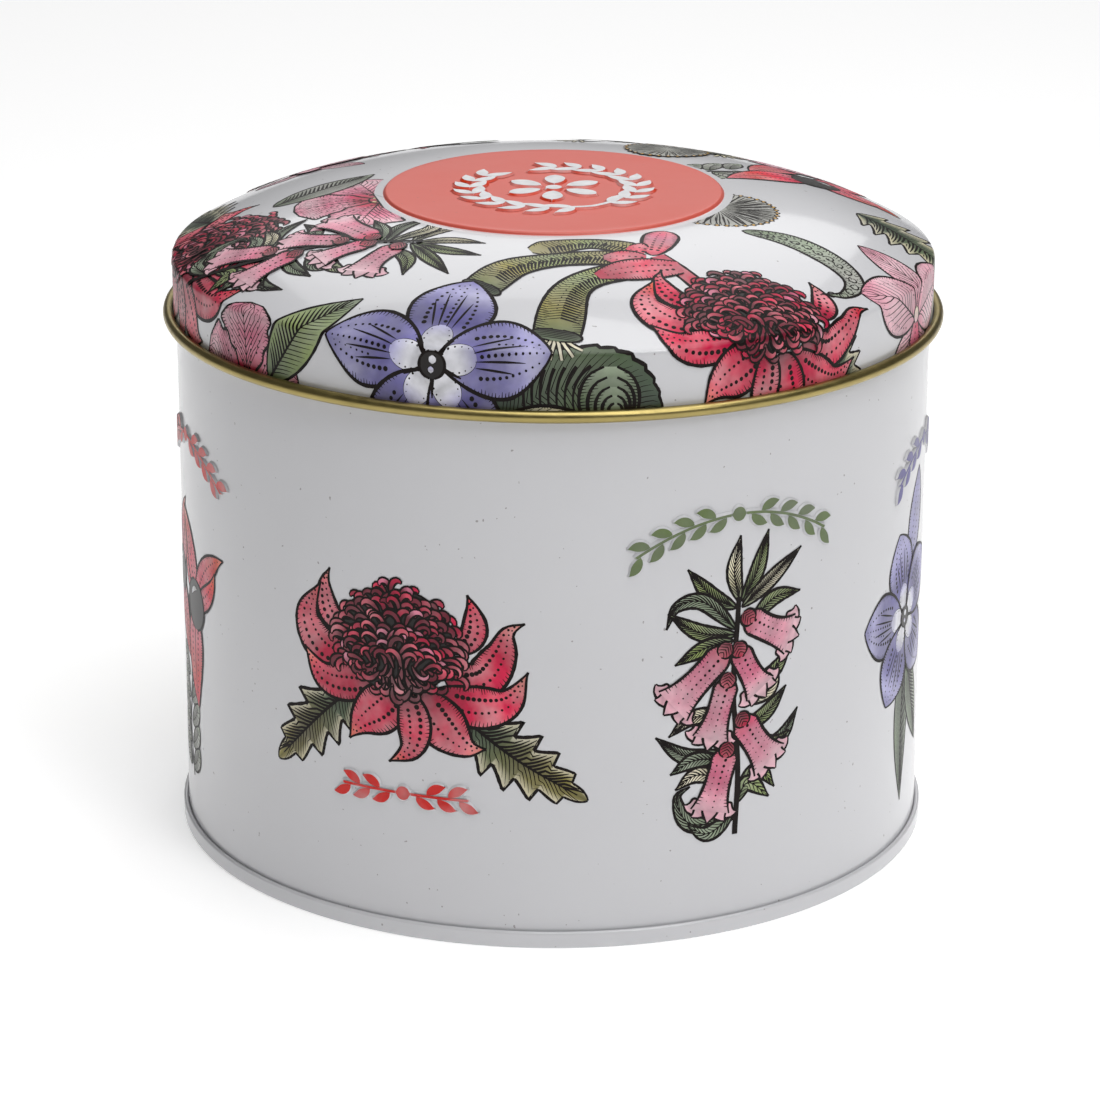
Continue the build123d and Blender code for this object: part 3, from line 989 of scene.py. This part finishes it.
class LidSurface:
    """The lid's outer skin: from the distance along it, counted from its middle, to a place and a normal."""

    def __init__(self, line):
        points, sides = line
        count = np.argmax(points[:, 1] < FOOT_CURL_HEIGHT - 1e-6)
        self.skin, self.sides = (points + HALF * sides)[:count], sides[:count]
        self.along = np.concatenate([[0], np.cumsum(np.hypot(*np.diff(self.skin, axis=0).T))])
        sharp = (self.sides[1:] * self.sides[:-1]).sum(1) < np.cos(radians(5))
        self.creases = self.along[1:-1][sharp[:-1] | sharp[1:]]

    def place(self, flat, above):
        distance = abs(flat)
        r, z = (np.interp(distance, self.along, column) for column in self.skin.T)
        out, up = (np.interp(distance, self.along, column) for column in self.sides.T)
        ray = flat / np.maximum(distance, 1e-9)
        reach = r + out * above
        return np.stack([reach * ray.real, reach * ray.imag, z + up * above], -1)


def patch_mesh(patches):
    """All patches of one kind as flat points, heights above the metal, quads and colours."""
    flats, heights, faces, tones = [], [], [], []
    count = 0
    for grid, tone, layer, lift in patches:
        faces.append(count + cells(*grid.shape))
        flats.append(grid.ravel())
        heights.append(np.broadcast_to(FILM + LAYER * layer + lift, grid.shape).ravel())
        tones.append(np.broadcast_to(tone, (*grid.shape, 3)).reshape(-1, 3))
        count += grid.size
    return map(np.concatenate, (flats, heights, faces, tones))


def cut_at_creases(mesh, surface, clip):
    """Splits the lid's print where the metal bends sharply, and trims it at both ends of its clip."""
    near, far = clip
    cuts = [(along, 1, False) for along in surface.creases if near < along < far]
    with reworked(mesh) as work:
        for along, way, trim in (*cuts, (near, -1, True), (far, 1, True)):
            geometry = work.verts[:] + work.edges[:] + work.faces[:]
            bmesh.ops.bisect_plane(work, geom=geometry, dist=1e-5, plane_co=(along, 0, 0),
                                   plane_no=(way, 0, 0), clear_outer=trim)


def unrolled(flat, above, quads):
    """The lid's print as (distance, angle, height), without a jump of the angle inside a quad."""
    angle = np.angle(flat)
    turns = np.zeros(len(flat))
    turns[quads] = np.round((np.angle(flat[quads].mean(1))[:, None] - angle[quads]) / (2 * np.pi))
    return np.stack([abs(flat), angle + 2 * np.pi * turns, above], -1)


def print_piece(name, patches, material, surface=None, clip=None):
    """The patches as one mesh in their own colours, on the body's wall or on the lid's surface."""
    flat, above, quads, tones = patch_mesh(patches)
    mesh = bpy.data.meshes.new(name)
    points = on_body(flat, above) if surface is None else unrolled(flat, above, quads)
    mesh.from_pydata(points.tolist(), [], quads.tolist())
    colours = mesh.color_attributes.new("tone", "FLOAT_COLOR", "POINT")
    opaque = np.concatenate([tones, np.ones((len(tones), 1))], 1)
    colours.data.foreach_set("color", opaque.astype(np.float32).ravel())
    if surface is not None:
        cut_at_creases(mesh, surface, clip)
    places = np.zeros(len(mesh.vertices) * 3)
    mesh.vertices.foreach_get("co", places)
    places = places.reshape(-1, 3)
    if surface is not None:
        places = surface.place(places[:, 0] * np.exp(1j * places[:, 1]), places[:, 2])
    mesh.vertices.foreach_set("co", (places * MM).ravel())
    mesh.materials.append(material)
    with reworked(mesh) as work:
        work.normal_update()
        middle = Vector((0, 0, 60 * MM))
        inward = [face for face in work.faces if face.normal.dot(face.calc_center_median() - middle) < 0]
        bmesh.ops.reverse_faces(work, faces=inward)
    mesh.shade_smooth()
    return add(name, mesh)


# ---- The tin ----

white, red, gold, wash, ink = white_enamel(), red_enamel(), gold_lacquer(), wash_ink(), line_ink()

lid_middle, shoulder_height = lid_line()
lid_skin = LidSurface(lid_middle)


def lid_paint(radius, outside):
    """Red on the panel, white on the rest of the outside, and gold inside."""
    if outside:
        return 1 if radius < PANEL_RADIUS + 0.3 else 0
    return 2


lid = sheet_piece("lid_sheet", lid_middle, 1, around(), (white, red, gold), lid_paint)
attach(lid, "lid")
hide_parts("lid")

seam_angle = radians(SIDE_SEAM_AT)
seam_edges = np.array([SIDE_GROOVE[0] - 0.05, SIDE_GROOVE[0] + 0.1, SIDE_FOLD[0] - 0.05, SIDE_FOLD[0] + 0.05])
seam_columns = seam_angle + np.array([*-seam_edges, 0, *seam_edges]) / BODY_RADIUS
seam_foot, seam_top = BASE_PANEL + 1, shoulder_height - 1.6


def press_side_seam(ring, outer_rows):
    """The side seam: its folds stand into the tin, with a fine groove outside."""
    turned = np.arctan2(ring[..., 1], ring[..., 0]) - seam_angle
    away = np.abs((turned + np.pi) % (2 * np.pi) - np.pi) * BODY_RADIUS
    upright = (ring[..., 2] > seam_foot) & (ring[..., 2] < seam_top)
    inner = np.arange(len(ring))[:, None] >= outer_rows
    fold = inner & (away < SIDE_FOLD[0])
    groove = ~inner & (away < SIDE_GROOVE[0])
    depth = upright * (fold * SIDE_FOLD[1] + groove * SIDE_GROOVE[1])
    outward = ring * (1, 1, 0)
    outward /= np.linalg.norm(outward, axis=-1, keepdims=True)
    return -outward * depth[..., None]


def gold_inside(_, outside):
    return 0 if outside else 1


seamed_body = body_line(shoulder_height), -1, around(seam_columns)
body = sheet_piece("body_sheet", *seamed_body, (white, gold), gold_inside, press_side_seam)
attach(body, "tin")
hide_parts("body_wall")

base = sheet_piece("base_sheet", base_line(), -1, around(), (white, gold), gold_inside)
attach(base, "tin")
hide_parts("base_end")

# ---- Where each flower goes ----

body_print = Sheet(2 * np.pi * BODY_RADIUS + 4, 110)
lid_print = Sheet(190, 190)
panel_edge = lid_skin.along[np.searchsorted(lid_skin.skin[:, 0], PANEL_RADIUS + 0.6)]
LID_CLIP = (panel_edge, lid_skin.along[-1] - 0.4)
PANEL_CLIP = (0.3, PANEL_RADIUS - 1)


def lay(flower, name, motif, body, surface=None, clip=None):
    """Draws a flower and makes its two pieces: the washes, and the ink over them."""
    flower(motif)
    for kind, material, finish in (("wash", wash, "printed_tinplate"), ("ink", ink, "printing_ink")):
        if motif.patches[kind]:
            piece = print_piece(f"{name}_{kind}", motif.patches[kind], material, surface, clip)
            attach(piece, body)


def on_wall(flower, name, angle, height, scale=1.0):
    """On the body: angle is in degrees to the right of the front, and height in millimetres."""
    centre = radians(angle) * BODY_RADIUS + 1j * (height - EMBLEM_MIDDLE)
    lay(flower, name, Motif(body_print, centre, 0, scale), "tin")


def on_lid(flower, name, x, y, turn=0.0, scale=1.0):
    """On the lid: x to the right and y to the back, from its middle and along the metal."""
    lay(flower, name, Motif(lid_print, x + 1j * y, turn, scale), "lid", lid_skin, LID_CLIP)


# A flower, its name and its place, then the colour, width, rise and place of the ornament that goes with it
WALL_FLOWERS = (
    (waratah, "waratah", (-23, 56), (RED, 24, 0), (-22, 27.5)),
    (heath, "heath", (27.5, 46.5), (GREEN, 38, 6), (27.5, 73)),
    (bluebell_spray, "bluebell", (68, 47), (INDIGO, 30, 5), (76, 74)),
    (desert_pea, "desert_pea", (-75, 46), (RED, 36, 6), (-73, 74)),
    (kangaroo_paw, "kangaroo_paw", (120, 52, 1.15), (OLIVE, 34, 5), (120, 82)),
    (orchid_spray, "orchid", (-172, 50, 1.15), (CRIMSON, 34, 5), (-172, 82)),
    (wattle, "wattle", (-122, 54, 1.15), (GOLD, 28, 0), (-122, 16)),
)
for flower, name, place, ornament, ornament_place in WALL_FLOWERS:
    on_wall(flower, name, *place)
    on_wall(lambda m: garland(m, *ornament), f"{name}_garland", *ornament_place)

on_lid(curled_fern, "lid_fern", 3.5, -80.5, 6, 0.94)
on_lid(rose, "lid_rose_front", -66, -56, -50)
on_lid(broad_leaf, "lid_leaf_front", -46, -56, 14)
on_lid(rose, "lid_rose_left", -31.5, -6.5, 20)
on_lid(waratah_flower, "lid_waratah_left", -61, -14, -68, 1.05)
on_lid(heath, "lid_heath_left", -40, -31, -99)
on_lid(leaning_paw, "lid_kangaroo_paw", 17.4, -41)
on_lid(bluebell, "lid_bluebell", -22, -72, -17, 1.08)
on_lid(saw_leaf, "lid_leaf_front_right", 58, -57.5, 4, 0.75)
on_lid(waratah_flower, "lid_waratah_right", 35, -55, 14, 1.02)
on_lid(curled_leaf, "lid_curled_leaf", 34, -25)
on_lid(lambda m: pompom(m, 11), "lid_pompom", 30, -12)
on_lid(desert_pea, "lid_desert_pea", 46, 24, -66, 0.95)
on_lid(saw_leaf, "lid_leaf_right", 67, -6, -32)
on_lid(orchid, "lid_orchid_right", 73, -30, 60)
on_lid(rose, "lid_rose_back", 47, 46, 30)
on_lid(kangaroo_paw, "lid_kangaroo_paw_back", 20, 56, 110)
on_lid(bluebell, "lid_bluebell_back", -8, 71)
on_lid(waratah, "lid_waratah_back", -42, 46, 200)
on_lid(orchid, "lid_orchid_left", -48, 33, 10, 0.7)

on_lid(lambda m: broad_leaf(m, 24, 8, 20, (MOSS, GREY, SAGE)), "lid_leaf_left", -43, 6, 40)
on_lid(lambda m: broad_leaf(m, 26, 9, -24, (MOSS, SAGE, GREY)), "lid_leaf_back", -22, 52, 150)
on_lid(pompom, "lid_pompom_back", 22, 36)
on_lid(saw_leaf, "lid_leaf_far_left", -69, 14, 110)

lay(wreath, "lid_wreath", Motif(Sheet(80, 80), 0, 28), "lid", lid_skin, PANEL_CLIP)

# ---- Camera, light and floor ----

CAMERA_BACK, CAMERA_UP, CAMERA_PITCH = 0.7531, 0.3118, 19.13
camera = add("camera", bpy.data.cameras.new("camera"))
camera.data.sensor_width = 36
camera.data.lens = 137.2
camera.data.shift_x = -0.0022
aim = Matrix.Rotation(radians(90 - CAMERA_PITCH), 4, "X") @ Matrix.Rotation(radians(0.2), 4, "Z")
camera.matrix_world = Matrix.Translation((0, -CAMERA_BACK, CAMERA_UP)) @ aim
bpy.context.scene.camera = camera


def softbox(name, place, size, power, aim=(0, 0, 0.06)):
    """A square area light that looks at the tin, or at another aim."""
    light = add(name, bpy.data.lights.new(name, "AREA"))
    light.data.size = size
    light.data.energy = power
    light.location = place
    light.rotation_euler = (Vector(aim) - Vector(place)).to_track_quat("-Z", "Y").to_euler()


softbox("top_softbox", (0.15, -0.1, 0.95), 0.8, 6.4)
softbox("front_softbox", (0.1, -0.65, 0.95), 0.5, 1.1)
softbox("key_softbox", (0.55, -0.75, 0.85), 0.35, 2.7)
softbox("floor_softbox", (0, 1.8, 1.3), 1.6, 12, (0, 1.1, 0))

world = bpy.data.worlds.new("studio")
world.use_nodes = True
world.node_tree.nodes["Background"].inputs["Color"].default_value = (1, 1, 1, 1)
world.node_tree.nodes["Background"].inputs["Strength"].default_value = 0.1
bpy.context.scene.world = world
bpy.context.scene.view_settings.view_transform = "Standard"

floor_mesh = bpy.data.meshes.new("floor")
floor_mesh.from_pydata([(-3, -3, 0), (3, -3, 0), (3, 5, 0), (-3, 5, 0)], [], [(0, 1, 2, 3)])
floor_mesh.materials.append(floor_paper())
floor = add("floor", floor_mesh)
